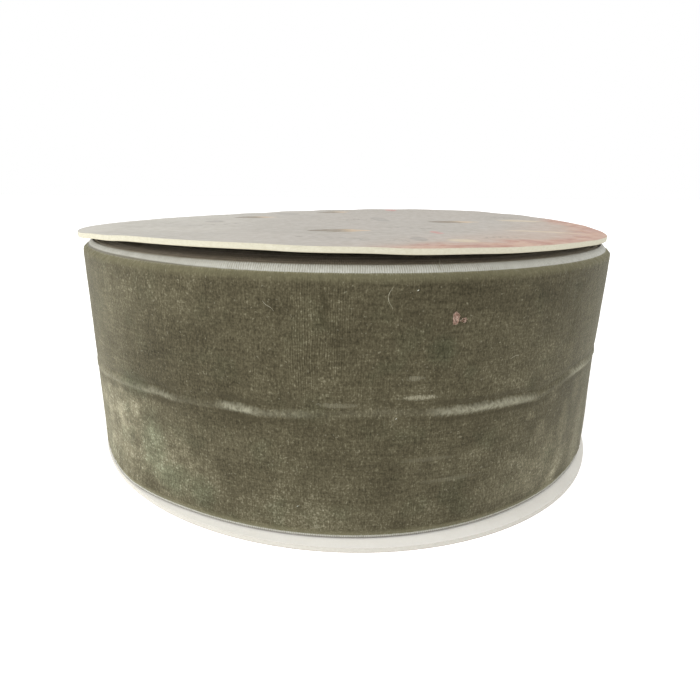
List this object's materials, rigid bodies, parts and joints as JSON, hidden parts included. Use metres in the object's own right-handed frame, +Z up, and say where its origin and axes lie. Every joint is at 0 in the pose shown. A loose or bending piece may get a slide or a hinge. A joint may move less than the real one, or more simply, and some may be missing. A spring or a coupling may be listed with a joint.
{
  "type": "ribbon spool",
  "caption": "Spool of wide velvet ribbon wound on a paperboard core between round board flanges, with a free end that peels off the roll.",
  "frame": {"origin": "where the core's axis meets the underside of the lower flange, on the surface that the spool stands on", "axes": "+Z up along the core's axis, towards the printed flange; -Y faces the viewer; the ribbon's free end is at the back, near +Y"},
  "size_m": [0.1335, 0.1347, 0.0535],
  "materials": {
    "printed_paper": "coated paper with a soft watercolour print",
    "white_paper": "smooth white paper",
    "cream_board": "cream pulp board, matt at its cut edge",
    "core_board": "grey-brown spiral-wound paperboard",
    "hot_melt": "cloudy hot-melt glue",
    "white_tape": "double-sided tape",
    "velvet": "olive grey-green velvet with pale woven selvedges",
    "clear_tape": "clear adhesive tape"
  },
  "bodies": {
    "spool": {"bottom_facing_paper": "white_paper", "bottom_flange_board": "cream_board", "bottom_liner_paper": "white_paper", "top_liner_paper": "white_paper", "top_flange_board": "cream_board", "top_printed_facing": "printed_paper", "core_tube": "core_board", "bottom_glue_ring": "hot_melt", "top_glue_ring": "hot_melt", "core_start_tape": "white_tape", "ribbon_wound_turns": "velvet", "ribbon_last_turn": "velvet"},
    "tail_base": {"ribbon_tail_base": "velvet"},
    "tail_tip": {"ribbon_tail_tip": "velvet", "tail_tape_tab": "clear_tape"}
  },
  "joints": [
    {"name": "tail_peel", "type": "hinge", "parent": "spool", "child": "tail_base", "pos_m": [0.02792, 0.05989, 0.026], "axis": [0, 0, -1], "range_deg": [0, 55]},
    {"name": "tail_uncurl", "type": "hinge", "parent": "tail_base", "child": "tail_tip", "pos_m": [-0.00115, 0.06613, 0.026], "axis": [0, 0, -1], "range_deg": [0, 33]}
  ],
  "couplings": [
    {"joint": "tail_uncurl", "follows": "tail_peel", "ratio": 0.6}
  ]
}
